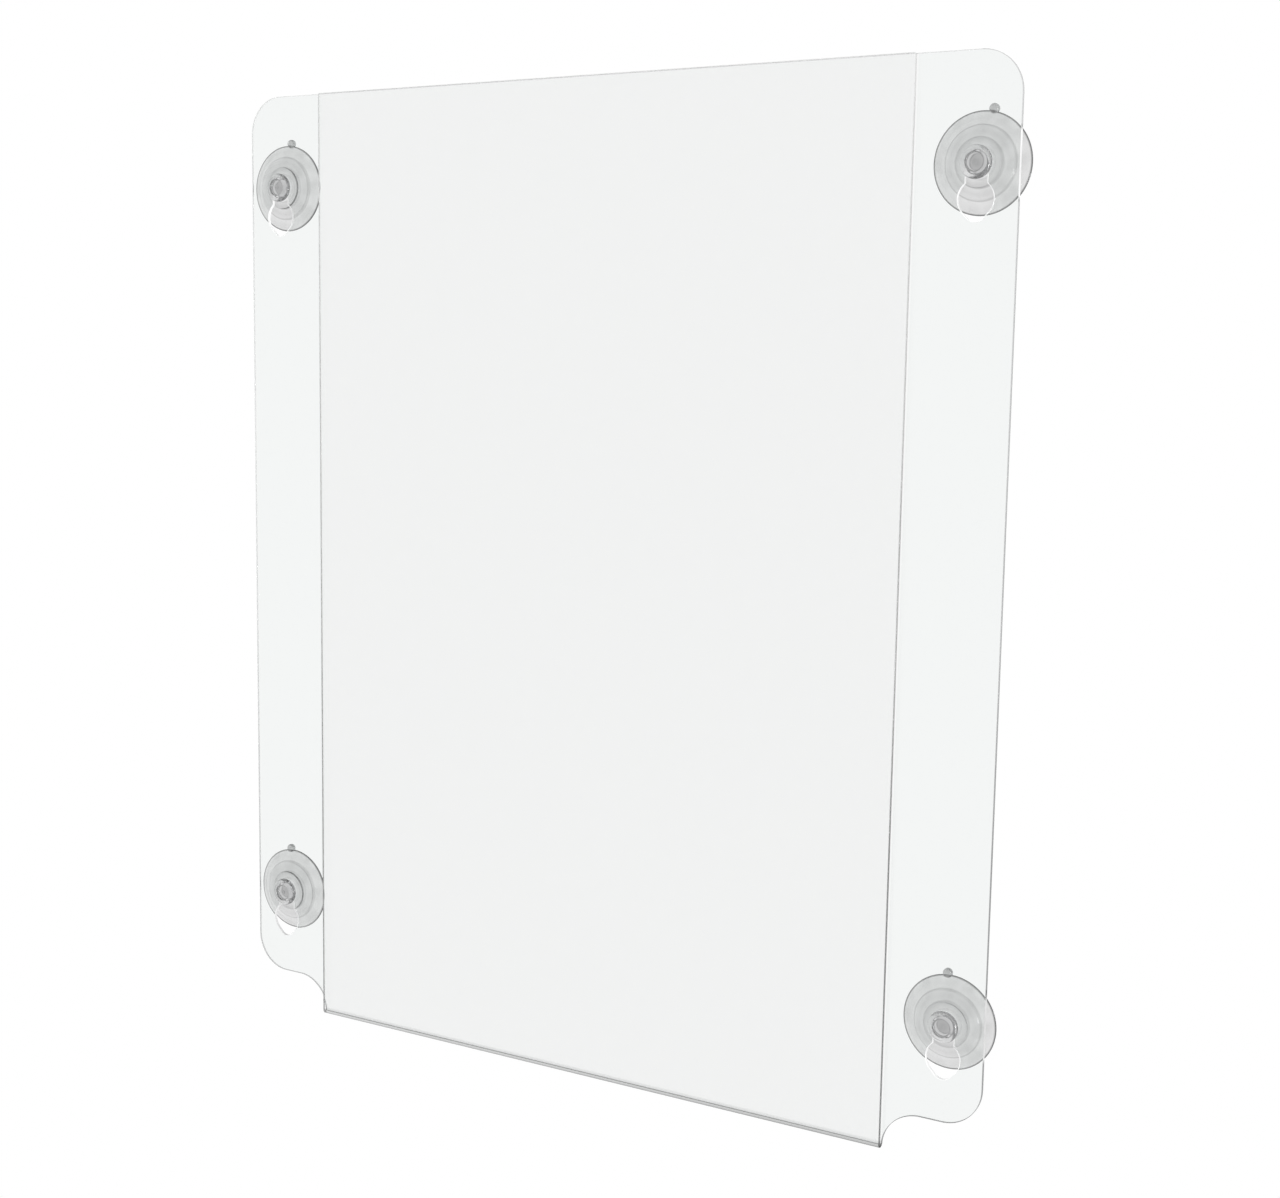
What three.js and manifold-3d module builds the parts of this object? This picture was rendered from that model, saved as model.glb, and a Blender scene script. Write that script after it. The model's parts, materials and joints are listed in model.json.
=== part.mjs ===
// A clear hanging screen with a poster pocket: one acrylic sheet folded double at its foot, hung on
// four clear suction cups that hook into keyholes in its wings.
// Millimetres, +Z up, +X to the right and +Y from the front leaf towards the glass it hangs on.
// The origin is at the foot of the fold, in the middle of the whole object's width and depth.

import * as THREE from 'three';
import { mergeVertices } from 'three/addons/utils/BufferGeometryUtils.js';
import Module from 'manifold-3d';

const wasm = await Module();
wasm.setup();

// Sheet: a pocket for a 24 x 36 inch poster, with a wing on each side of it.
const PANEL_HEIGHT = 921;
const LEAF_WIDTH = 617;
const WING_WIDTH = 89;
const SHEET = 3.2;
const POCKET_GAP = 2;
const CORNER_RADIUS = 35;
const WING_FOOT = 35;

// Keyhole: its place is that of the neck at rest, and its drops are down from its slot's round top.
const KEYHOLE_FROM_SIDE = 36;
const KEYHOLE_FROM_TOP = 87.5;
const KEYHOLE_FROM_FOOT = 84.5;
const SLOT_WIDTH = 18.6;
const OPENING_RADIUS = 15.3;
const OPENING_DROP = 28.6;
const TIP_RADIUS = 9;
const TIP_DROP = 37.6;
const SHOULDER_FILLET = 3;

// Suction cup: an 83 mm cup with a mushroom head, pressed on so that it stands 11 mm deep.
const CLEARANCE = 0.3;
const CUP_RADIUS = 41.5;
const CUP_DEPTH = 11;
const HEAD_RADIUS = 13.5;
const HEAD_HEIGHT = 5.6;
const HEAD_RIM = 2.8;
const NECK_RADIUS = 8.8;
const COLLAR_RADIUS = 20;
const COLLAR_HEIGHT = 2.2;
const RIDGE_RADIUS = 30;
const RIDGE_STEP = 1.1;
const RIDGE_DEPTH = 6;
const LIP_WIDTH = 3.4;
const FLANGE_THICKNESS = 1.3;
const WALL_THICKNESS = 2.2;
const CROWN_THICKNESS = 5;
const NUB_RADIUS = 4.1;
const NUB_RISE = 1.8;
const NUB_THICKNESS = 4.6;

// Each cup is turned a little differently in its keyhole, so its nub leans by this many degrees.
const CUPS = [
  { name: 'suction_cup_top_left', side: -1, end: 'top', lean: 8 },
  { name: 'suction_cup_top_right', side: 1, end: 'top', lean: 12 },
  { name: 'suction_cup_bottom_left', side: -1, end: 'foot', lean: -2.5 },
  { name: 'suction_cup_bottom_right', side: 1, end: 'foot', lean: -3 },
];

const ARC_STEPS = 8;
const CUP_SIDES = 40;
const NUB_SIDES = 20;

// Places worked out from the sizes above.
const HALF_LEAF = LEAF_WIDTH / 2;
const HALF_WIDTH = HALF_LEAF + WING_WIDTH;
const BEND_RADIUS = SHEET + POCKET_GAP / 2;
const FRONT_DEPTH = SHEET + CLEARANCE + HEAD_HEIGHT;
const BACK_DEPTH = CLEARANCE + CUP_DEPTH;
const BACK_FACE_Y = (FRONT_DEPTH - BACK_DEPTH) / 2;
const NECK_PLAY = SLOT_WIDTH / 2 - NECK_RADIUS - CLEARANCE;
const CUP_X = HALF_WIDTH - KEYHOLE_FROM_SIDE;
const CUP_Z = { top: PANEL_HEIGHT - KEYHOLE_FROM_TOP, foot: WING_FOOT + KEYHOLE_FROM_FOOT };

const acrylic = new THREE.MeshStandardMaterial({
  color: 0xf1f5f4, roughness: 0.05, metalness: 0, transparent: true, opacity: 0.35,
});
const clearVinyl = new THREE.MeshStandardMaterial({
  color: 0xd4d6d7, roughness: 0.25, metalness: 0, transparent: true, opacity: 0.55,
});

// Turns a closed three.js geometry into a solid that can be joined to another.
function toSolid(geometry) {
  const bare = geometry.clone();
  bare.deleteAttribute('normal');
  bare.deleteAttribute('uv');
  const merged = mergeVertices(bare, 1e-4);
  return new wasm.Manifold(new wasm.Mesh({
    numProp: 3,
    vertProperties: new Float32Array(merged.attributes.position.array),
    triVerts: new Uint32Array(merged.index.array),
  }));
}

function toGeometry(solid) {
  const mesh = solid.getMesh();
  const geometry = new THREE.BufferGeometry();
  geometry.setAttribute('position', new THREE.BufferAttribute(mesh.vertProperties, 3));
  geometry.setIndex(new THREE.BufferAttribute(mesh.triVerts, 1));
  geometry.computeVertexNormals();
  return geometry;
}

// Extrudes a shape drawn in the X-Z plane towards +Y, from y = 0 to the given depth.
function extrudeAlongY(shape, depth) {
  const geometry = new THREE.ExtrudeGeometry(shape, {
    depth, bevelEnabled: false, curveSegments: ARC_STEPS,
  });
  return geometry.rotateX(Math.PI / 2).translate(0, depth, 0);
}

// Extrudes a shape drawn in the Y-Z plane along X, centred on x = 0.
function extrudeAlongX(shape, length) {
  const geometry = new THREE.ExtrudeGeometry(shape, {
    depth: length, bevelEnabled: false, curveSegments: ARC_STEPS,
  });
  const yToZ = new THREE.Matrix4().makeBasis(
    new THREE.Vector3(0, 1, 0), new THREE.Vector3(0, 0, 1), new THREE.Vector3(1, 0, 0),
  );
  return geometry.applyMatrix4(yToZ).translate(-length / 2, 0, 0);
}

// The keyhole of one cup: a slot that fits the neck, widening below into an egg-shaped opening that
// lets the mushroom head through. Fillets join the slot's straight sides to the opening's round
// shoulders, and straight flanks run from there to its narrower tip.
function keyhole(x, z) {
  const halfSlot = SLOT_WIDTH / 2;
  const openingZ = z - OPENING_DROP;
  const filletX = halfSlot + SHOULDER_FILLET;
  const reach = OPENING_RADIUS + SHOULDER_FILLET;
  const filletRise = Math.sqrt(reach ** 2 - filletX ** 2);
  const filletZ = openingZ + filletRise;
  const shoulder = Math.atan2(filletRise, filletX);
  const flank = Math.asin((OPENING_RADIUS - TIP_RADIUS) / (TIP_DROP - OPENING_DROP));
  const hole = new THREE.Path();
  hole.absarc(x, z, halfSlot, 0, Math.PI, false);
  hole.absarc(x - filletX, filletZ, SHOULDER_FILLET, 0, -shoulder, true);
  hole.absarc(x, openingZ, OPENING_RADIUS, Math.PI - shoulder, Math.PI + flank, false);
  hole.absarc(x, z - TIP_DROP, TIP_RADIUS, Math.PI + flank, 2 * Math.PI - flank, false);
  hole.absarc(x, openingZ, OPENING_RADIUS, -flank, shoulder, false);
  hole.absarc(x + filletX, filletZ, SHOULDER_FILLET, Math.PI + shoulder, Math.PI, true);
  hole.closePath();
  return hole;
}

// Outline of the back panel above the bend: two wings with round corners, and a quarter-round
// notch on each side of the fold where the wing's foot runs into it.
function backPanelShape() {
  const notchX = HALF_LEAF + Math.sqrt(WING_FOOT ** 2 - BEND_RADIUS ** 2);
  const notchStart = Math.asin(BEND_RADIUS / WING_FOOT);
  const cornerX = HALF_WIDTH - CORNER_RADIUS;
  const topZ = PANEL_HEIGHT - CORNER_RADIUS;
  const footZ = WING_FOOT + CORNER_RADIUS;
  const quarter = Math.PI / 2;
  const shape = new THREE.Shape();
  shape.moveTo(-HALF_LEAF, BEND_RADIUS);
  shape.lineTo(HALF_LEAF, BEND_RADIUS);
  shape.absarc(notchX, 0, WING_FOOT, Math.PI - notchStart, quarter, true);
  shape.absarc(cornerX, footZ, CORNER_RADIUS, -quarter, 0, false);
  shape.absarc(cornerX, topZ, CORNER_RADIUS, 0, quarter, false);
  shape.absarc(-cornerX, topZ, CORNER_RADIUS, quarter, Math.PI, false);
  shape.absarc(-cornerX, footZ, CORNER_RADIUS, Math.PI, Math.PI + quarter, false);
  shape.absarc(-notchX, 0, WING_FOOT, quarter, notchStart, true);
  for (const cup of CUPS) {
    shape.holes.push(keyhole(cup.side * CUP_X, CUP_Z[cup.end] - NECK_PLAY));
  }
  return shape;
}

// Section of the bend and the front leaf, with a short back leg that lies inside the back panel.
// The back panel's rear face is at y = 0.
function foldShape() {
  const legTop = WING_FOOT / 2;
  const leafFront = -2 * BEND_RADIUS;
  const shape = new THREE.Shape();
  shape.moveTo(0, legTop);
  shape.lineTo(-SHEET, legTop);
  shape.lineTo(-SHEET, BEND_RADIUS);
  shape.absarc(-BEND_RADIUS, BEND_RADIUS, POCKET_GAP / 2, 0, -Math.PI, true);
  shape.lineTo(leafFront + SHEET, PANEL_HEIGHT);
  shape.lineTo(leafFront, PANEL_HEIGHT);
  shape.lineTo(leafFront, BEND_RADIUS);
  shape.absarc(-BEND_RADIUS, BEND_RADIUS, BEND_RADIUS, Math.PI, 2 * Math.PI, false);
  shape.closePath();
  return shape;
}

function foldedPanel() {
  const back = extrudeAlongY(backPanelShape(), SHEET).translate(0, -SHEET, 0);
  const fold = extrudeAlongX(foldShape(), LEAF_WIDTH);
  const mesh = new THREE.Mesh(toGeometry(toSolid(back).add(toSolid(fold))), acrylic);
  mesh.name = 'folded_panel';
  mesh.position.y = BACK_FACE_Y;
  return mesh;
}

// Half section of the cup's round body, as radius and distance behind the panel's rear face.
// It runs from the middle of the head, along the outside to the lip, and back inside the hollow.
function cupProfile() {
  const headFront = -FRONT_DEPTH;
  const headBack = -SHEET - CLEARANCE;
  const lip = BACK_DEPTH;
  const crown = CLEARANCE + CROWN_THICKNESS;
  const dimple = 1.6;
  const round = 0.8;
  const points = [
    [0, headFront + 0.5],
    [dimple, headFront],
    [0.4 * HEAD_RADIUS, headFront + 0.4],
    [0.75 * HEAD_RADIUS, headFront + 1.5],
    [HEAD_RADIUS - round, headBack - HEAD_RIM],
    [HEAD_RADIUS, headBack - HEAD_RIM + round],
    [HEAD_RADIUS, headBack - round],
    [HEAD_RADIUS - round, headBack],
    [NECK_RADIUS, headBack],
    [NECK_RADIUS, CLEARANCE],
    [COLLAR_RADIUS - round, CLEARANCE],
    [COLLAR_RADIUS, CLEARANCE + round],
    [COLLAR_RADIUS, CLEARANCE + COLLAR_HEIGHT],
    [RIDGE_RADIUS - RIDGE_STEP, RIDGE_DEPTH - RIDGE_STEP],
    [RIDGE_RADIUS, RIDGE_DEPTH],
    [CUP_RADIUS, lip - FLANGE_THICKNESS],
    [CUP_RADIUS, lip],
    [CUP_RADIUS - LIP_WIDTH, lip],
    [RIDGE_RADIUS, RIDGE_DEPTH + WALL_THICKNESS],
    [COLLAR_RADIUS, crown + 1.2],
    [NECK_RADIUS, crown + 0.2],
    [0, crown],
  ];
  return points.map(([radius, depth]) => new THREE.Vector2(radius, depth));
}

// The pull nub: a small round peg that stands out of the rim.
function nub() {
  const geometry = new THREE.CylinderGeometry(NUB_RADIUS, NUB_RADIUS, NUB_THICKNESS, NUB_SIDES);
  return geometry.translate(0, BACK_DEPTH - CLEARANCE - NUB_THICKNESS / 2, CUP_RADIUS + NUB_RISE);
}

function suctionCup({ name, side, end, lean }) {
  const body = new THREE.LatheGeometry(cupProfile(), CUP_SIDES);
  const mesh = new THREE.Mesh(toGeometry(toSolid(body).add(toSolid(nub()))), clearVinyl.clone());
  mesh.name = name;
  mesh.position.set(side * CUP_X, BACK_FACE_Y, CUP_Z[end]);
  mesh.rotation.y = THREE.MathUtils.degToRad(lean);
  return mesh;
}

const screen = new THREE.Group();
screen.add(foldedPanel(), ...CUPS.map(suctionCup));

export default screen;
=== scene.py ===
import json
import math

import bmesh
import bpy
import numpy as np
from mathutils import Matrix, Vector
from mathutils.geometry import tessellate_polygon


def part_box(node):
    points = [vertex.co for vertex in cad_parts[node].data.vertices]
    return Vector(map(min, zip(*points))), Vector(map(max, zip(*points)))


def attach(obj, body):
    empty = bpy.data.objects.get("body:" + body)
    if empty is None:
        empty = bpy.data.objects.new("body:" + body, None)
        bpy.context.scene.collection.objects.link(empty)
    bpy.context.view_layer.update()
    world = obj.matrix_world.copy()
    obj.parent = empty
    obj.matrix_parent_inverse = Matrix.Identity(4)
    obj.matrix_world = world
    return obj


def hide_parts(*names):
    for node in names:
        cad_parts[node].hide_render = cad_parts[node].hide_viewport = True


# A clear acrylic screen, folded up at its foot into a poster pocket, on four clear suction cups.
# Metres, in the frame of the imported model: +Z up, +Y from the front leaf towards the glass.

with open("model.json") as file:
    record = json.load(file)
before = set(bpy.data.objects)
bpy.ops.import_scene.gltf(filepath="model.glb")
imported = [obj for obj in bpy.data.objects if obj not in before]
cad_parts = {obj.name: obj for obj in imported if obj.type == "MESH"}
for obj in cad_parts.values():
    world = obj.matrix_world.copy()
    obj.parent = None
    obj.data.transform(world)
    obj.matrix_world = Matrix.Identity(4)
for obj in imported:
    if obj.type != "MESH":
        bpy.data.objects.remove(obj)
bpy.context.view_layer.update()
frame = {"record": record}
mounts = {mount["name"]: Vector(mount["pos_m"]) for mount in frame["record"]["mounts"]}
panel_low, panel_high = (Vector(corner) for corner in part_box("folded_panel"))

MM = 0.001

# Sheet. The heights and widths come from the frame; these are the sizes it doesn't state.
SHEET = 3.2 * MM
WING_WIDTH = 89 * MM
CORNER_RADIUS = 35 * MM
WING_FOOT = 35 * MM
EDGE_ROUND = 0.35 * MM
LEAF_CORNER = 1.5 * MM

PANEL_HEIGHT = panel_high.z - panel_low.z
HALF_WIDTH = (panel_high.x - panel_low.x) / 2
HALF_LEAF = HALF_WIDTH - WING_WIDTH
BEND_RADIUS = (panel_high.y - panel_low.y) / 2
NEUTRAL_RADIUS = BEND_RADIUS - SHEET / 2
BEND_LENGTH = math.pi * NEUTRAL_RADIUS
BEND_CENTRE_Y = panel_high.y - BEND_RADIUS
BEND_STEPS = 24

# Closer than SAME_POINT is one point. A cut through a vertex within CUT_REACH adds no new one.
# An edge is the right wing's if it is further out than the leaf's edge by LEAF_MARGIN.
SAME_POINT = 1e-8
CUT_REACH = 1e-7
LEAF_MARGIN = 0.1 * MM

# Material slots of the sheet. Its faces have the first, 0.
# The right wing's edge has a material of its own: a darker copy of the outer edge's, painted shade,
# with a painted glow.
OUTER_EDGE, KEYHOLE_EDGE, RIGHT_EDGE = 1, 2, 3

# Keyhole, measured from the middle of the neck of the cup that hangs in it.
SLOT_HALF = 9.3 * MM
SLOT_PLAY = 0.2 * MM
OPENING_RADIUS = 15.3 * MM
OPENING_DROP = 28.6 * MM
TIP_RADIUS = 9 * MM
TIP_DROP = 37.6 * MM
SHOULDER_FILLET = 3 * MM

# Suction cup, as radius and depth behind the sheet's rear face.
CLEARANCE = 0.3 * MM
CUP_RADIUS = 41.5 * MM
LIP_MIDDLE = 39.8 * MM
LIP_DEPTH = 11.3 * MM
HEAD_RADIUS = 13.5 * MM
HEAD_HEIGHT = 5.6 * MM
NECK_RADIUS = 8.8 * MM
COLLAR_RADIUS = 20 * MM
RIDGE_RADIUS = 30 * MM
NUB_RADIUS = 4.1 * MM
NUB_RISE = 1.8 * MM
NUB_THICKNESS = 4.6 * MM
NUB_FRONT_ROUND = 2.2 * MM
NUB_BACK_ROUND = 0.6 * MM
CUP_SIDES = 96
NUB_SIDES = 40
ROUNDING_STEPS = 5
SHARP_ANGLE = 35

# How far each cup's nub leans from straight up, in degrees, towards +X.
CUP_LEAN = {"top_left": 8, "top_right": 12, "bottom_left": -2.5, "bottom_right": -3}

ACRYLIC_IOR = 1.49
VINYL_IOR = 1.53

# The sheet's faces carry painted shade, darkest at the foot of the bend, up to the first height
# below. Its right edge has a painted glow for LIT_HALF above and below the middle of each length that
# has a darker cup behind it.
FOLD_SHADE_TOP = 6 * MM
LIT_HALF = 27.5 * MM
LIT_FADE = 2 * MM
LIT_GLOW = 0.55

# A cut edge's painted shade changes from its foot's look, dark, to its top's, lighter, as a number
# grows over EDGE_SPAN.
# The number is the height as a share of the panel's, with a slow random drift and an amount of
# painted light added on the left wing, which is what lies further out than the leaf's edge by
# LEFT_WING_MARGIN.
EDGE_SPAN = (0.45, 1.3)
LEFT_WING_PAINTED_LIGHT = 0.5
LEFT_WING_MARGIN = 0.5 * MM
EDGE_DRIFT = 0.4

# Grey of the vinyl at radii in mm, its own grey with painted shade in it: darker lines at the recess,
# collar, ridge and rim, and the nub darkening towards its top.
VINYL_GREY_AND_PAINTED_SHADE = [
    (0.0, 0.44),
    (6.6, 0.56),
    (7.8, 0.26),
    (8.8, 0.92),
    (12.4, 0.96),
    (13.4, 0.66),
    (14.3, 0.76),
    (18.9, 0.66),
    (20.0, 0.5),
    (21.0, 0.76),
    (25.0, 0.7),
    (28.6, 0.74),
    (29.8, 0.52),
    (31.0, 0.78),
    (35.0, 0.76),
    (39.8, 0.79),
    (40.9, 0.17),
    (41.5, 0.14),
    (42.2, 0.6),
    (46.0, 0.5),
    (47.4, 0.3),
]
RINGS_END = 50

# Room. Its light fades to CEILING_LIGHT as a direction's upward part grows from start to end.
CEILING_START, CEILING_END, CEILING_LIGHT = 0.45, 0.9, 0.55
FLOOR_DROP = 0.25
FLOOR_SIZE = 30
LAMP_PLACE = (2.2, -1.0, 0.2)
LAMP_SIZE = 0.6
LAMP_WATTS = 20

# Camera: its place in panel heights from the foot of the sheet's middle plane, and yaw to the left,
# pitch and roll in degrees.
CAMERA_PLACE = (0.9958, -1.5883, 0.7413)
CAMERA_TURN = (30.463, -7.532, 0.921)
CAMERA_LENS = 53.4
SENSOR_WIDTH = 36


def cup_centre(name):
    """Middle of a cup's lip plane, from the mount that the record puts on its lip."""
    return mounts[f"cup_lip_{name}"] + Vector((0, 0, LIP_MIDDLE))


# Flat outlines


def arc(centre_x, centre_z, radius, start, end, steps):
    """Points of an arc, with its angles in degrees counted from +X towards +Z."""
    angles = np.radians(np.linspace(start, end, steps + 1))
    return [(centre_x + radius * math.cos(a), centre_z + radius * math.sin(a)) for a in angles]


def blank_outline(inset):
    """Outline of the flat sheet before it is bent, drawn in by inset all round.
    Heights count from the bend line: the back panel is above it, the bend and front leaf below."""
    corner_x = HALF_WIDTH - CORNER_RADIUS
    top = PANEL_HEIGHT - BEND_RADIUS - CORNER_RADIUS
    foot = WING_FOOT + CORNER_RADIUS - BEND_RADIUS
    notch_x = HALF_LEAF + math.sqrt(WING_FOOT**2 - BEND_RADIUS**2)
    notch_start = math.degrees(math.asin(BEND_RADIUS / WING_FOOT))
    leaf_x = HALF_LEAF - LEAF_CORNER
    leaf_end = BEND_RADIUS - PANEL_HEIGHT - BEND_LENGTH + LEAF_CORNER
    right = [
        *arc(leaf_x, leaf_end, LEAF_CORNER - inset, -90, 0, 6),
        *arc(notch_x, -BEND_RADIUS, WING_FOOT + inset, 180 - notch_start, 90, 32),
        *arc(corner_x, foot, CORNER_RADIUS - inset, -90, 0, 32),
        *arc(corner_x, top, CORNER_RADIUS - inset, 0, 90, 32),
    ]
    return right + [(-x, z) for x, z in reversed(right)]


def keyhole_outline(x, z, inset):
    """Outline of one keyhole, let out by inset, round the top of its slot at (x, z)."""
    opening_z = z - OPENING_DROP
    fillet_x = SLOT_HALF + SHOULDER_FILLET
    fillet_rise = math.sqrt((OPENING_RADIUS + SHOULDER_FILLET) ** 2 - fillet_x**2)
    shoulder = math.degrees(math.atan2(fillet_rise, fillet_x))
    flank = math.degrees(math.asin((OPENING_RADIUS - TIP_RADIUS) / (TIP_DROP - OPENING_DROP)))
    fillet = SHOULDER_FILLET - inset
    opening = OPENING_RADIUS + inset
    return [
        *arc(x, z, SLOT_HALF + inset, 0, 180, 32),
        *arc(x - fillet_x, opening_z + fillet_rise, fillet, 0, -shoulder, 8),
        *arc(x, opening_z, opening, 180 - shoulder, 180 + flank, 24),
        *arc(x, z - TIP_DROP, TIP_RADIUS + inset, 180 + flank, 360 - flank, 16),
        *arc(x, opening_z, opening, -flank, shoulder, 24),
        *arc(x + fillet_x, opening_z + fillet_rise, fillet, 180 + shoulder, 180, 8),
    ]


def sheet_outlines(inset):
    """The outer outline of the blank and its keyholes, all as (x, height above the bend line)."""
    outlines = [blank_outline(inset)]
    for name in CUP_LEAN:
        centre = cup_centre(name)
        slot_top = centre.z - SLOT_PLAY - BEND_RADIUS
        outlines.append(keyhole_outline(centre.x, slot_top, inset))
    return [
        [point for k, point in enumerate(line) if math.dist(point, line[k - 1]) > SAME_POINT]
        for line in outlines
    ]


def edge_section():
    """Section of the polished edge, from the rear face round to the front face, as
    (inset, height off the sheet's middle, share of the normal that points outwards)."""
    half = SHEET / 2
    quarter = np.radians(np.linspace(0, 90, 6))
    rear = [
        (EDGE_ROUND * (1 - math.sin(a)), half - EDGE_ROUND * (1 - math.cos(a)), math.sin(a))
        for a in quarter
    ]
    return rear + [(inset, -off, out) for inset, off, out in reversed(rear)]


# The folded panel


def bend(x, height, off):
    """Where a point of the flat blank goes once the sheet is folded, and the directions there of
    the blank's height and of its rear face."""
    angle = min(max(-height / NEUTRAL_RADIUS, 0), math.pi)
    cos, sin = math.cos(angle), math.sin(angle)
    reach = NEUTRAL_RADIUS + off
    place = Vector((x, BEND_CENTRE_Y + reach * cos, panel_low.z + BEND_RADIUS - reach * sin))
    if height > 0:
        place.z += height
    elif height < -BEND_LENGTH:
        place.z -= height + BEND_LENGTH
    return place, Vector((0, sin, cos)), Vector((0, cos, -sin))


def flat_blank():
    """The sheet before bending, in blank coordinates, with its normals in a layer of their own."""
    bm = bmesh.new()
    normals = bm.verts.layers.float_vector.new("blank_normal")
    section = edge_section()
    inner, outer = sheet_outlines(EDGE_ROUND), sheet_outlines(0)
    rings = []
    for inset, off, out in section:
        ring = []
        for line, inner_line, outer_line in zip(sheet_outlines(inset), inner, outer):
            loop = []
            for (x, z), inner_point, outer_point in zip(line, inner_line, outer_line):
                vert = bm.verts.new((x, off, z))
                away = (Vector(outer_point) - Vector(inner_point)).normalized() * out
                face_share = math.copysign(math.sqrt(1 - out * out), off)
                vert[normals] = Vector((away.x, face_share, away.y))
                loop.append(vert)
            ring.append(loop)
        rings.append(ring)
    for ring, following in zip(rings, rings[1:]):
        for loop, next_loop in zip(ring, following):
            for k in range(len(loop)):
                face = bm.faces.new((loop[k - 1], loop[k], next_loop[k], next_loop[k - 1]))
                if loop is not ring[0]:
                    face.material_index = KEYHOLE_EDGE
                elif face.calc_center_median().x > HALF_LEAF + LEAF_MARGIN:
                    face.material_index = RIGHT_EDGE
                else:
                    face.material_index = OUTER_EDGE
    for ring in (rings[0], rings[-1]):
        verts = [vert for loop in ring for vert in loop]
        lines = [[Vector((v.co.x, v.co.z, 0)) for v in loop] for loop in ring]
        triangles = {
            bm.faces.new([verts[k] for k in corners]) for corners in tessellate_polygon(lines)
        }
        shared = {
            edge
            for face in triangles
            for edge in face.edges
            if triangles.issuperset(edge.link_faces)
        }
        bmesh.ops.beautify_fill(bm, faces=list(triangles), edges=list(shared))
    bmesh.ops.recalc_face_normals(bm, faces=bm.faces)
    for k in range(BEND_STEPS + 1):
        bmesh.ops.bisect_plane(
            bm,
            geom=bm.verts[:] + bm.edges[:] + bm.faces[:],
            plane_co=(0, 0, -BEND_LENGTH * k / BEND_STEPS),
            plane_no=(0, 0, 1),
            dist=CUT_REACH,
        )
    return bm, normals


def make_object(name, mesh, *materials):
    """A new object in the scene, with its materials in the order of the mesh's slots."""
    piece = bpy.data.objects.new(name, mesh)
    bpy.context.scene.collection.objects.link(piece)
    for material in materials:
        mesh.materials.append(material)
    return piece


def folded_panel(*materials):
    """The sheet, bent from its blank into back panel, bend and front leaf."""
    bm, layer = flat_blank()
    directions = []
    for vert in bm.verts:
        x, off, height = vert.co
        vert.co, along, rear = bend(x, height, off)
        blank = vert[layer]
        direction = Vector((blank.x, 0, 0)) + rear * blank.y + along * blank.z
        directions.append(direction.normalized())
    mesh = bpy.data.meshes.new("acrylic_screen")
    bm.to_mesh(mesh)
    bm.free()
    mesh.shade_smooth()
    mesh.normals_split_custom_set_from_vertices(directions)
    panel = make_object("acrylic_screen", mesh, *materials)
    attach(panel, "screen")
    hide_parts("folded_panel")
    return panel


# Suction cups


def rounded(corners):
    """A line through the corners, given as (radius, depth, rounding), with each corner rounded."""
    line = []
    for k, (radius, depth, rounding) in enumerate(corners):
        here = Vector((radius, depth))
        if rounding == 0:
            line.append(here)
            continue
        before = Vector(corners[k - 1][:2]) - here
        after = Vector(corners[k + 1][:2]) - here
        start = here + before.normalized() * min(rounding, before.length * 0.49)
        end = here + after.normalized() * min(rounding, after.length * 0.49)
        for t in np.linspace(0, 1, ROUNDING_STEPS):
            line.append(start * (1 - t) ** 2 + here * 2 * t * (1 - t) + end * t**2)
    return line


def cup_section():
    """Half section of the cup, from the middle of its head round to the middle of its hollow."""
    back = -(SHEET + CLEARANCE) / MM
    front = back - HEAD_HEIGHT / MM
    neck, head, collar = NECK_RADIUS / MM, HEAD_RADIUS / MM, COLLAR_RADIUS / MM
    ridge, rim, lip = RIDGE_RADIUS / MM, CUP_RADIUS / MM, LIP_DEPTH / MM
    mm = [
        # Head, with a stepped recess in its front
        (0, front + 1.0, 0),
        (1.4, front + 1.0, 0.4),
        (2.2, front + 1.5, 0.4),
        (5.4, front + 1.4, 1),
        (7.4, front + 0.9, 0.6),
        (8.0, front, 0.4),
        (9.4, front + 0.1, 0.5),
        (12.0, front + 0.8, 1),
        (head, front + 2.2, 0.9),
        (head, back - 0.2, 0.8),
        (head - 0.9, back, 0.6),
        # Neck and collar
        (neck, back, 0.8),
        (neck, CLEARANCE / MM, 0.8),
        (collar - 0.4, CLEARANCE / MM, 0.6),
        (collar, 2.4, 0.5),
        # Cone, with three steps, the middle one at the ridge
        (22.6, 2.6, 0.6),
        (24.6, 3.3, 0.4),
        (25.2, 3.7, 0.3),
        (28.4, 4.5, 0.8),
        (ridge - 1, 4.9, 0.5),
        (ridge, 6.1, 0.6),
        (34.4, 7.6, 0.5),
        (34.9, 7.9, 0.3),
        # Rim and lip
        (40.4, 9.7, 0.5),
        (41.2, 9.9, 0.4),
        (rim, 10.3, 0.3),
        (rim, lip - 0.2, 0.2),
        (rim - 0.3, lip, 0.2),
        (38.3, lip, 0.5),
        # Hollow
        (34.5, 9.7, 1),
        (30.0, 8.2, 1.2),
        (24.0, 7.2, 1),
        (19.0, 6.4, 2),
        (9.0, 5.5, 2),
        (0, 5.3, 0),
    ]
    return rounded([(radius * MM, depth * MM, rounding * MM) for radius, depth, rounding in mm])


def lathe(bm, section, sides):
    """Turns a half section of (radius, depth) about the Y axis. Its ends are on the axis."""
    turns = np.linspace(0, 2 * math.pi, sides, endpoint=False)
    rings = []
    for radius, depth in section:
        around = turns if radius > SAME_POINT else (0,)
        rings.append(
            [bm.verts.new((radius * math.sin(t), depth, radius * math.cos(t))) for t in around]
        )
    for ring, following in zip(rings, rings[1:]):
        for k in range(sides):
            before, here = (k - 1) % sides, k
            corners = [ring[before % len(ring)], ring[here % len(ring)]]
            corners += [following[here % len(following)], following[before % len(following)]]
            bm.faces.new(list(dict.fromkeys(corners)))
    bmesh.ops.recalc_face_normals(bm, faces=bm.faces)


def lathed_mesh(name, section, sides, move=(0, 0, 0)):
    """The mesh of a turned half section, moved off the origin."""
    bm = bmesh.new()
    lathe(bm, section, sides)
    bmesh.ops.translate(bm, verts=bm.verts, vec=move)
    mesh = bpy.data.meshes.new(name)
    bm.to_mesh(mesh)
    bm.free()
    return mesh


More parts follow.
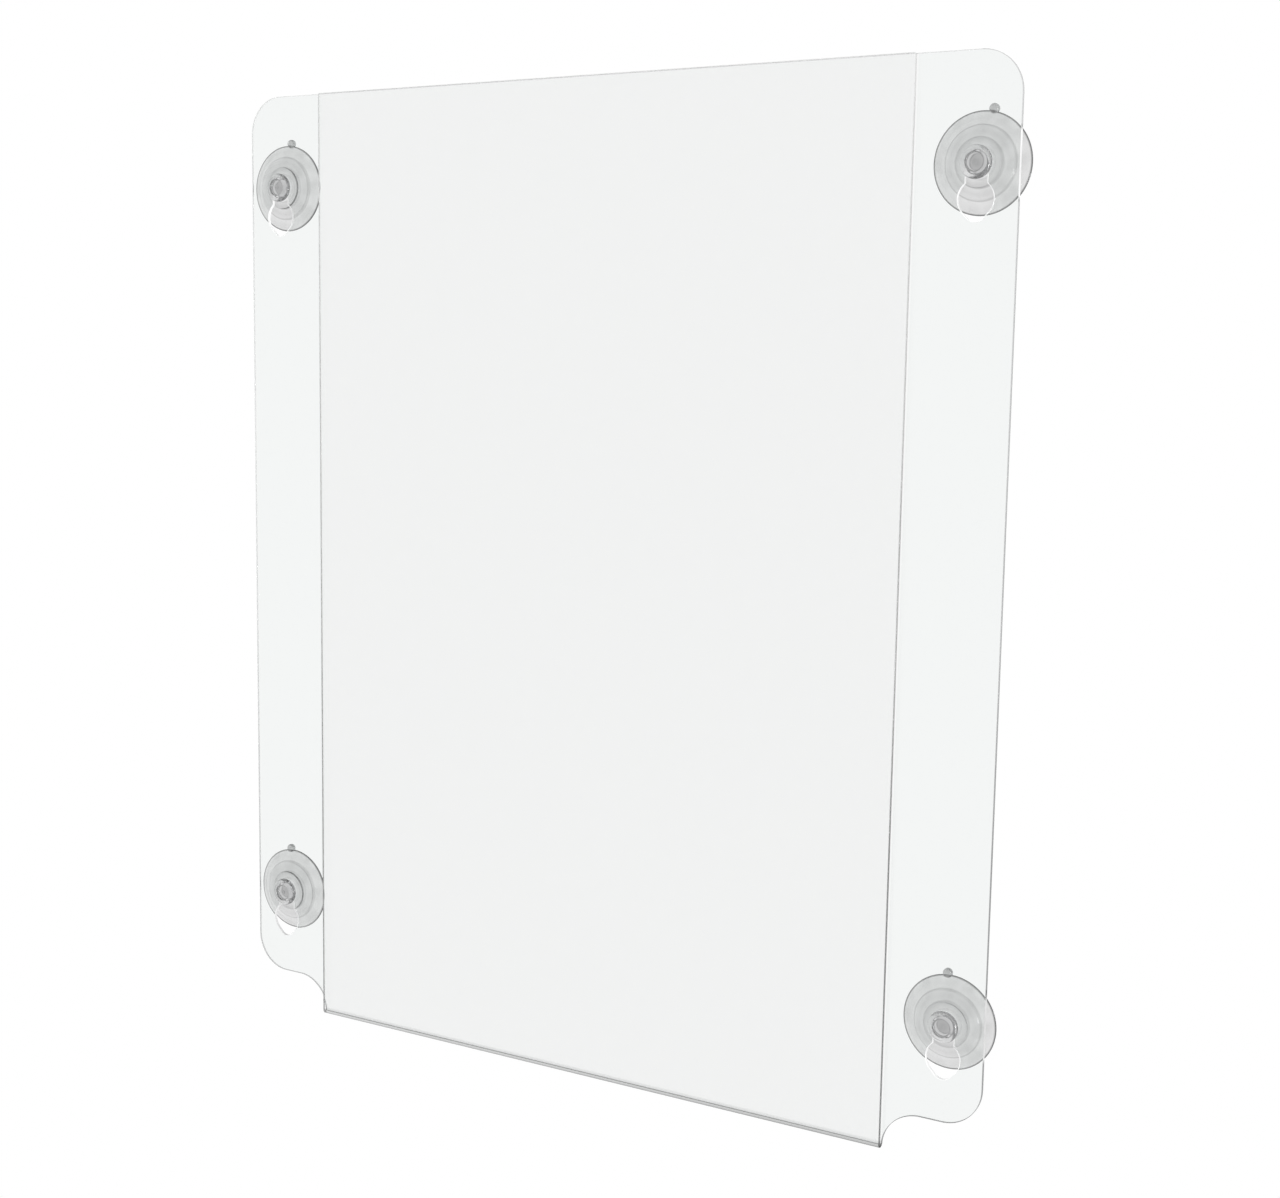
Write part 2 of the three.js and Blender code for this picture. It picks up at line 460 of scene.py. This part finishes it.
def nub_section():
    """Half section of the pull nub, a thick round button."""
    half = NUB_THICKNESS / 2
    corners = [
        (0, -half, 0),
        (NUB_RADIUS, -half, NUB_FRONT_ROUND),
        (NUB_RADIUS, half, NUB_BACK_ROUND),
        (0, half, 0),
    ]
    return rounded(corners)


def join(body, tool):
    """Joins the tool into the body, for good, and removes the tool."""
    modifier = body.modifiers.new("join", "BOOLEAN")
    modifier.operation = "UNION"
    modifier.solver = "EXACT"
    modifier.object = tool
    evaluated = body.evaluated_get(bpy.context.evaluated_depsgraph_get())
    mesh = bpy.data.meshes.new_from_object(evaluated)
    body.modifiers.remove(modifier)
    body.data = mesh
    bpy.data.objects.remove(tool)


def suction_cup(name, material):
    """One cup with its nub, hung by its neck in the top of its keyhole."""
    centre = cup_centre(name)
    mesh = lathed_mesh(f"vinyl_cup_{name}", cup_section(), CUP_SIDES)
    cup = make_object(f"vinyl_cup_{name}", mesh, material)
    nub_middle = LIP_DEPTH - CLEARANCE - NUB_THICKNESS / 2
    nub_place = (0, nub_middle, CUP_RADIUS + NUB_RISE)
    nub = make_object("nub", lathed_mesh("nub", nub_section(), NUB_SIDES, nub_place), material)
    bpy.context.view_layer.update()
    join(cup, nub)
    cup.data.name = cup.name
    cup.data.shade_smooth()
    cup.data.set_sharp_from_angle(angle=math.radians(SHARP_ANGLE))
    cup.data.transform(Matrix.Rotation(math.radians(CUP_LEAN[name]), 4, "Y"))
    cup.matrix_world = Matrix.Translation((centre.x, panel_high.y, centre.z))
    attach(cup, f"cup_{name}")
    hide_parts(f"suction_cup_{name}")
    return cup


# Materials


def grey(value):
    """A grey as a colour of a ramp."""
    return (value, value, value)


class Nodes:
    """A new material and short ways to build its nodes. Inputs have names or numbers: a Mix node's
    factor is 0, and what it mixes is 2 and 3 for numbers and 6 and 7 for colours."""

    def __init__(self, name):
        self.material = bpy.data.materials.new(name)
        self.material.use_nodes = True
        self.tree = self.material.node_tree
        self.shader = self.tree.nodes["Principled BSDF"]
        self.output = self.tree.nodes["Material Output"]

    def fill(self, socket, value):
        """Links the value to the socket, or sets it if it is a plain value."""
        if isinstance(value, bpy.types.NodeSocket):
            self.tree.links.new(value, socket)
        else:
            socket.default_value = value

    def add(self, kind, inputs=None, **settings):
        node = self.tree.nodes.new(kind)
        for key, value in settings.items():
            setattr(node, key, value)
        for key, value in (inputs or {}).items():
            self.fill(node.inputs[key], value)
        return node

    def set(self, **inputs):
        """Fills the shader's inputs."""
        for key, value in inputs.items():
            self.fill(self.shader.inputs[key.replace("_", " ")], value)

    def calculate(self, operation, *values):
        return self.add("ShaderNodeMath", dict(enumerate(values)), operation=operation).outputs[0]

    def noise(self, place, scale, detail, roughness=0.5):
        values = {"Vector": place, "Scale": scale, "Detail": detail, "Roughness": roughness}
        return self.add("ShaderNodeTexNoise", values).outputs["Fac"]

    def spread(self, value, start, end, low, high):
        """The value, from start to end, spread from low to high and held there past the ends."""
        values = {"Value": value, "From Min": start, "From Max": end, "To Min": low, "To Max": high}
        return self.add("ShaderNodeMapRange", values).outputs["Result"]

    def bump(self, height, strength, distance):
        values = {"Height": height, "Strength": strength, "Distance": distance}
        return self.add("ShaderNodeBump", values).outputs["Normal"]

    def times(self, colour, other):
        """The product of two colours."""
        values = {0: 1.0, 6: colour, 7: other}
        node = self.add("ShaderNodeMix", values, data_type="RGBA", blend_type="MULTIPLY")
        return node.outputs[2]

    def ramp(self, factor, stops):
        """A colour ramp through stops of (position, colour)."""
        node = self.add("ShaderNodeValToRGB", {"Fac": factor})
        elements = node.color_ramp.elements
        while len(elements) < len(stops):
            elements.new(0.5)
        for element, (position, colour) in zip(elements, stops):
            element.position = position
            element.color = (*colour, 1)
        return node.outputs["Color"]

    def absorb(self, colour, density):
        volume = self.add("ShaderNodeVolumeAbsorption", {"Color": (*colour, 1), "Density": density})
        self.tree.links.new(volume.outputs[0], self.output.inputs["Volume"])


def acrylic_face():
    """Cast acrylic: clear, glossy and very slightly wavy, with a faint tint and painted shade along
    the foot of the bend.
    """
    nodes = Nodes("clear_acrylic")
    place = nodes.add("ShaderNodeTexCoord").outputs["Object"]
    parts = nodes.add("ShaderNodeSeparateXYZ", {0: place}).outputs
    wave = nodes.noise(place, scale=3.5, detail=2.0)
    smudge = nodes.noise(place, scale=9.0, detail=8.0, roughness=0.65)
    share = nodes.spread(parts["Z"], panel_low.z, panel_low.z + FOLD_SHADE_TOP, 0.0, 1.0)
    # Painted shade: a dark line at the very foot of the bend and a darker band above it.
    painted_fold_shade = [
        (0.0, (0.1, 0.1, 0.1)),
        (0.26, (0.22, 0.22, 0.22)),
        (0.45, (0.9, 0.905, 0.905)),
        (0.72, (0.84, 0.845, 0.845)),
        (1.0, (1.0, 1.0, 1.0)),
    ]
    wing = nodes.calculate("GREATER_THAN", nodes.calculate("ABSOLUTE", parts["X"]), HALF_LEAF)
    middle_tint, wing_tint = (0.936, 0.94, 0.938, 1), (0.9, 0.916, 0.91, 1)
    clear = nodes.add("ShaderNodeMix", {0: wing, 6: middle_tint, 7: wing_tint}, data_type="RGBA")
    nodes.set(
        Base_Color=nodes.times(nodes.ramp(share, painted_fold_shade), clear.outputs[2]),
        Transmission_Weight=1.0,
        IOR=ACRYLIC_IOR,
        Roughness=nodes.spread(smudge, 0.35, 0.75, 0.0, 0.03),
        Normal=nodes.bump(wave, strength=0.05, distance=0.002),
    )
    return nodes.material


def acrylic_edge(name, greys, covers, glow=0.0, lit=()):
    """A polished cut edge, still a little milky, with painted shade: a grey and a cover, which is how
    much it hides, at the foot and at the top, darker low down and lighter on the left wing, and a
    painted glow that stands in for light the sheet pipes to it. Lit names the cups that it gets a
    painted glow in front of, and how far above the cup's middle that is."""
    nodes = Nodes(name)
    place = nodes.add("ShaderNodeTexCoord").outputs["Object"]
    parts = nodes.add("ShaderNodeSeparateXYZ", {0: place}).outputs
    # Painted shade: the edge's grey and cover follow its height, darker at the foot and lighter on
    # the left wing, with a random drift.
    share = nodes.spread(parts["Z"], panel_low.z, panel_high.z, 0.0, 1.0)
    left_wing = nodes.calculate("LESS_THAN", parts["X"], -HALF_LEAF - LEFT_WING_MARGIN)
    raised = nodes.calculate("MULTIPLY_ADD", left_wing, LEFT_WING_PAINTED_LIGHT, share)
    drift = nodes.noise(place, scale=6.0, detail=2.0)
    shifted = nodes.calculate("MULTIPLY_ADD", drift, EDGE_DRIFT, raised)
    cover = nodes.spread(shifted, *EDGE_SPAN, *covers)
    streak = nodes.noise(place, scale=60.0, detail=4.0)
    # Painted light: in front of each named cup the edge gets full cover and a painted glow.
    for cup, lift in lit:
        gap = nodes.calculate("SUBTRACT", parts["Z"], cup_centre(cup).z + lift)
        gap = nodes.calculate("ABSOLUTE", gap)
        near = nodes.spread(gap, LIT_HALF + LIT_FADE, LIT_HALF - LIT_FADE, 0.0, 1.0)
        cover = nodes.calculate("MAXIMUM", cover, near)
        glow = nodes.calculate("MULTIPLY_ADD", near, LIT_GLOW, glow)
    nodes.set(
        Base_Color=nodes.spread(shifted, *EDGE_SPAN, *greys),
        Transmission_Weight=0.3,
        IOR=ACRYLIC_IOR,
        Alpha=cover,
        Emission_Color=(1, 1, 1, 1),
        Emission_Strength=glow,
        Roughness=nodes.spread(streak, 0.0, 1.0, 0.08, 0.3),
    )
    return nodes.material


def vinyl():
    """Soft clear PVC, grey in its depth, with the turned rings of its mould as bumps, painted shade
    lines at its steps, rim and nub, and a satin skin.
    """
    nodes = Nodes("clear_vinyl")
    place = nodes.add("ShaderNodeTexCoord").outputs["Object"]
    flat = nodes.add("ShaderNodeVectorMath", {0: place, 1: (1, 0, 1)}, operation="MULTIPLY")
    reach = nodes.add("ShaderNodeVectorMath", {0: flat.outputs[0]}, operation="LENGTH")
    share = nodes.calculate("DIVIDE", reach.outputs["Value"], RINGS_END * MM)
    # Painted shade: the ramp darkens thin lines at the recess, collar, ridge and rim, and the nub.
    tint = nodes.ramp(share, [(radius / RINGS_END, grey(value)) for radius, value in VINYL_GREY_AND_PAINTED_SHADE])
    grooves = nodes.add(
        "ShaderNodeTexWave",
        {
            "Vector": flat.outputs[0],
            "Scale": 95.0,
            "Distortion": 0.6,
            "Detail": 2.0,
            "Detail Scale": 0.3,
        },
        wave_type="RINGS",
        rings_direction="SPHERICAL",
    )
    cloud = nodes.noise(place, scale=70.0, detail=5.0)
    skin = nodes.add(
        "ShaderNodeMix", {0: 0.45, 2: grooves.outputs["Fac"], 3: cloud}, data_type="FLOAT"
    )
    mottle = nodes.ramp(cloud, [(0.35, grey(0.86)), (0.65, grey(1.0))])
    nodes.set(
        Base_Color=nodes.times(tint, mottle),
        Transmission_Weight=1.0,
        IOR=VINYL_IOR,
        Roughness=nodes.spread(cloud, 0.0, 1.0, 0.04, 0.14),
        Normal=nodes.bump(skin.outputs[0], strength=0.35, distance=0.0004),
    )
    nodes.absorb((0.8, 0.805, 0.81), density=70.0)
    return nodes.material


# Studio


def room_light():
    """Even white light from all round, weaker overhead."""
    world = bpy.data.worlds.new("studio")
    bpy.context.scene.world = world
    world.use_nodes = True
    tree = world.node_tree
    direction = tree.nodes.new("ShaderNodeTexCoord")
    parts = tree.nodes.new("ShaderNodeSeparateXYZ")
    ceiling = tree.nodes.new("ShaderNodeMapRange")
    ceiling.interpolation_type = "SMOOTHSTEP"
    ceiling.inputs["From Min"].default_value = CEILING_START
    ceiling.inputs["From Max"].default_value = CEILING_END
    ceiling.inputs["To Min"].default_value = 1.0
    ceiling.inputs["To Max"].default_value = CEILING_LIGHT
    background = tree.nodes["Background"]
    background.inputs["Color"].default_value = (1, 1, 1, 1)
    tree.links.new(direction.outputs["Generated"], parts.inputs[0])
    tree.links.new(parts.outputs["Z"], ceiling.inputs["Value"])
    tree.links.new(ceiling.outputs["Result"], background.inputs["Strength"])
    bpy.context.scene.view_settings.view_transform = "Standard"


def floor():
    """A white floor, well below the screen and as bright as the room."""
    nodes = Nodes("pale_floor")
    nodes.set(
        Base_Color=(0, 0, 0, 1),
        Roughness=1.0,
        Specular_IOR_Level=0.0,
        Emission_Color=(1, 1, 1, 1),
        Emission_Strength=1.0,
    )
    bm = bmesh.new()
    bmesh.ops.create_grid(bm, x_segments=2, y_segments=2, size=FLOOR_SIZE)
    bmesh.ops.translate(bm, verts=bm.verts, vec=(0, 0, panel_low.z - FLOOR_DROP))
    mesh = bpy.data.meshes.new("floor")
    bm.to_mesh(mesh)
    bm.free()
    make_object("floor", mesh, nodes.material)


def lamp():
    """A soft lamp, low on the right, for the small reflections."""
    softbox = bpy.data.lights.new("softbox", "AREA")
    softbox.size = LAMP_SIZE
    softbox.energy = LAMP_WATTS
    light = bpy.data.objects.new("softbox", softbox)
    bpy.context.scene.collection.objects.link(light)
    light.location = LAMP_PLACE
    aim = Vector((0, 0, PANEL_HEIGHT / 2)) - light.location
    light.rotation_euler = aim.to_track_quat("-Z", "Y").to_euler()
    light.visible_camera = False


def camera():
    """A three-quarter view from the right, above the middle and looking slightly down."""
    place = Vector(CAMERA_PLACE) * PANEL_HEIGHT
    place.y += panel_high.y - SHEET / 2
    yaw, pitch, roll = (math.radians(angle) for angle in CAMERA_TURN)
    ahead = Vector(
        (-math.sin(yaw) * math.cos(pitch), math.cos(yaw) * math.cos(pitch), math.sin(pitch))
    )
    level = Vector((math.cos(yaw), math.sin(yaw), 0))
    above = level.cross(ahead)
    right = level * math.cos(roll) + above * math.sin(roll)
    up = above * math.cos(roll) - level * math.sin(roll)
    turn = Matrix((right, up, -ahead)).transposed().to_4x4()
    data = bpy.data.cameras.new("camera")
    data.sensor_width = SENSOR_WIDTH
    data.lens = CAMERA_LENS
    view = bpy.data.objects.new("camera", data)
    bpy.context.scene.collection.objects.link(view)
    view.matrix_world = Matrix.Translation(place) @ turn
    bpy.context.scene.camera = view


camera()
room_light()
floor()
lamp()
folded_panel(
    acrylic_face(),
    # Outer edges: painted shade, nearly black at the foot and lighter towards the top.
    acrylic_edge("acrylic_outer_edge", greys=(0.04, 0.72), covers=(0.8, 0.42)),
    # Keyhole edges: an even grey with a painted glow.
    acrylic_edge("acrylic_keyhole_edge", greys=(0.85, 0.85), covers=(0.8, 0.8), glow=0.3),
    # The right wing's edge: a darker copy of the outer edge, painted shade, with a painted glow in
    # front of the right cups.
    acrylic_edge(
        "acrylic_right_edge",
        greys=(0.08, 0.46),
        covers=(0.8, 0.6),
        lit=(("top_right", -2 * MM), ("bottom_right", 3.5 * MM)),
    ),
)
cup_material = vinyl()
for cup_name in CUP_LEAN:
    suction_cup(cup_name, cup_material)
